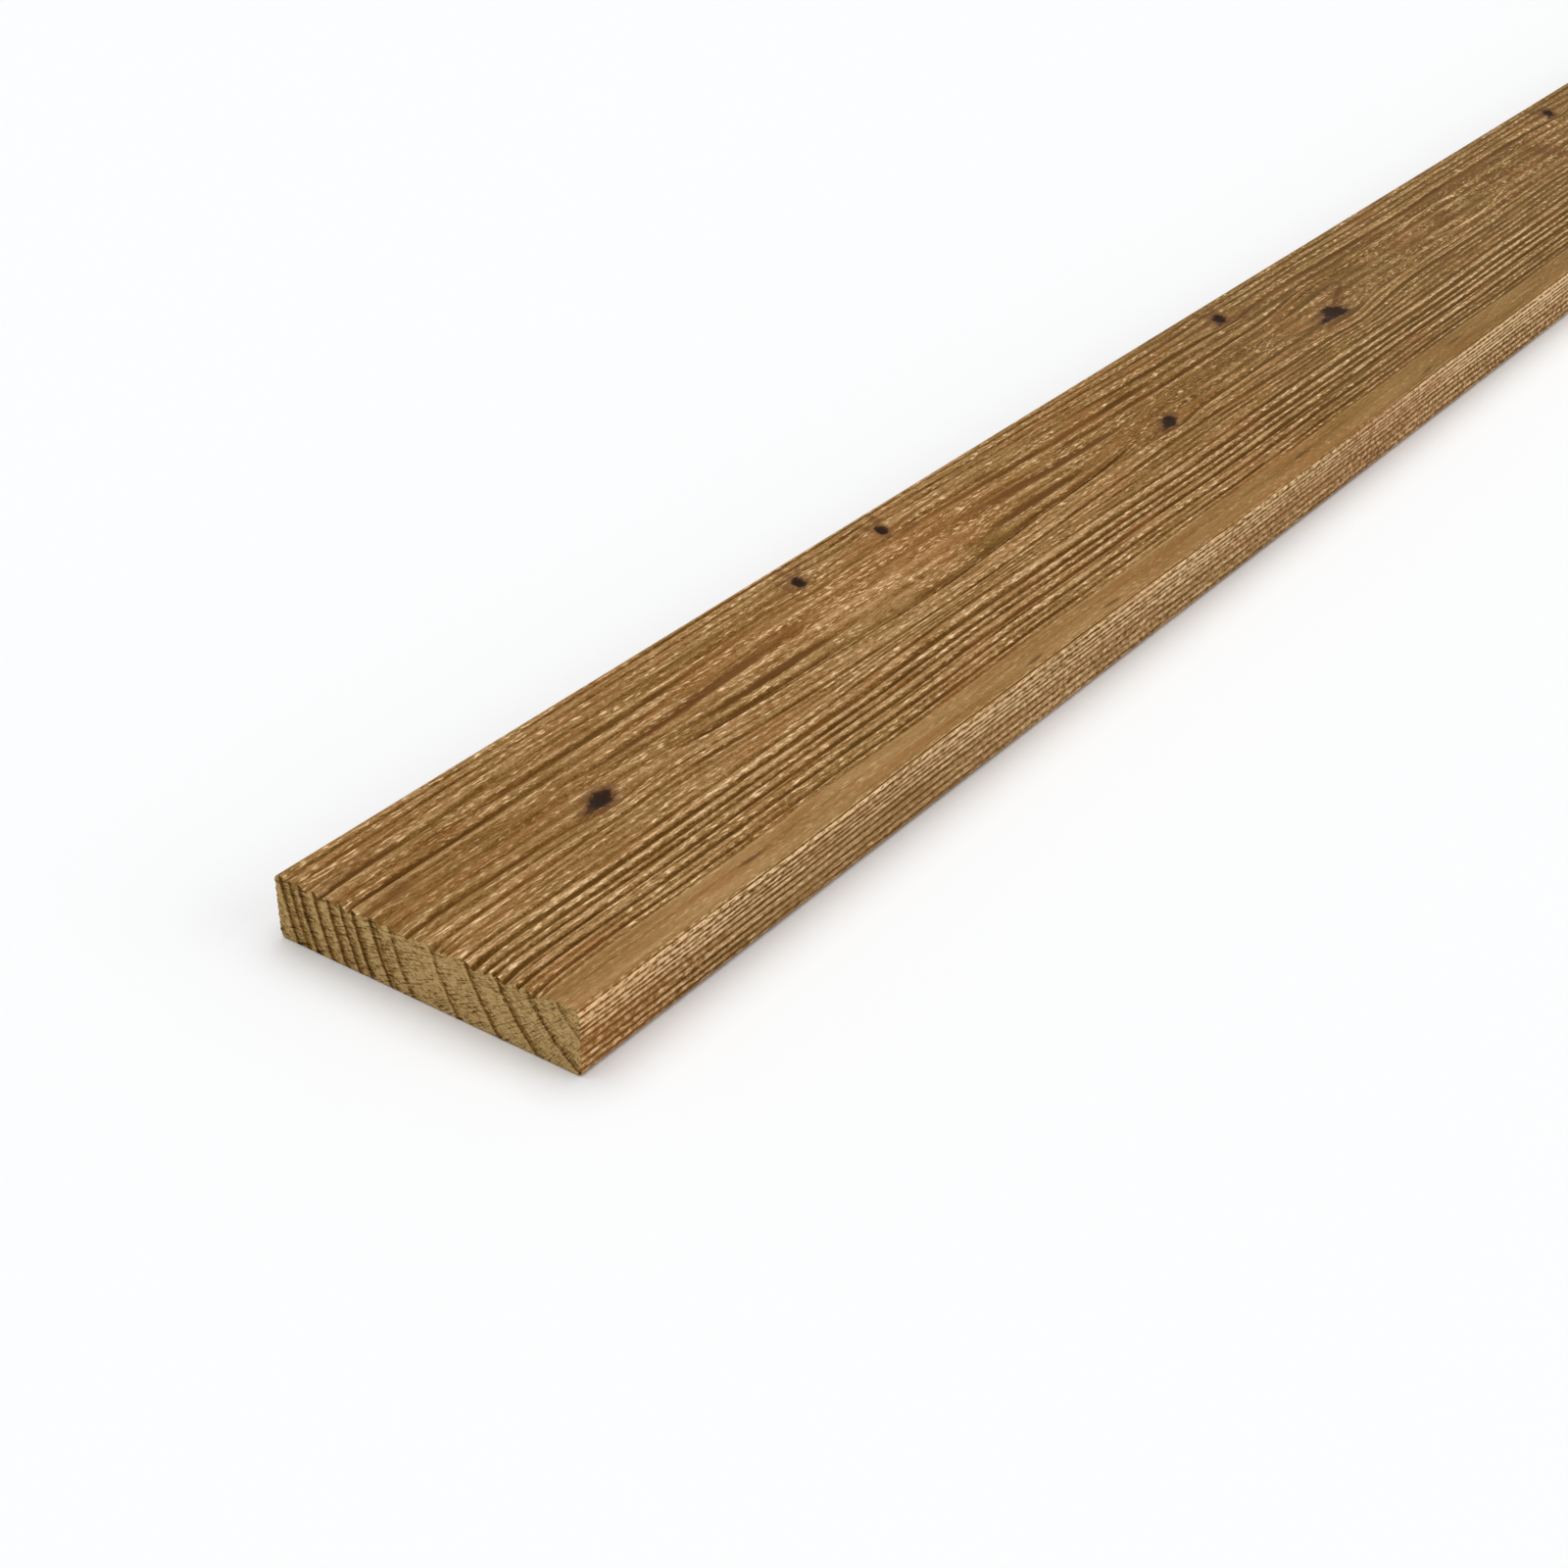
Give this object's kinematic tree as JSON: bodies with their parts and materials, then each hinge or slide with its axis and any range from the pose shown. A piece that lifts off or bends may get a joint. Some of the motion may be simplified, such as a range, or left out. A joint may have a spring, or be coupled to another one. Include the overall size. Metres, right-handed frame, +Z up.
{
  "type": "decking board",
  "caption": "Long flat timber board with rounded long edges, square sawn ends and small sunken dead knots in its walking face, laid across joists as decking.",
  "frame": {"origin": "centre of the underside, on the joists or floor the board lies on", "axes": "+X along the board away from the sawn end seen in the picture, +Y across the width away from the near edge seen in the picture, +Z up through the thickness"},
  "size_m": [2.4, 0.145, 0.028],
  "materials": {
    "pine": "planed, brown impregnated, weathered grain, matt"
  },
  "bodies": {
    "root": {"decking_board": "pine"}
  },
  "joints": []
}
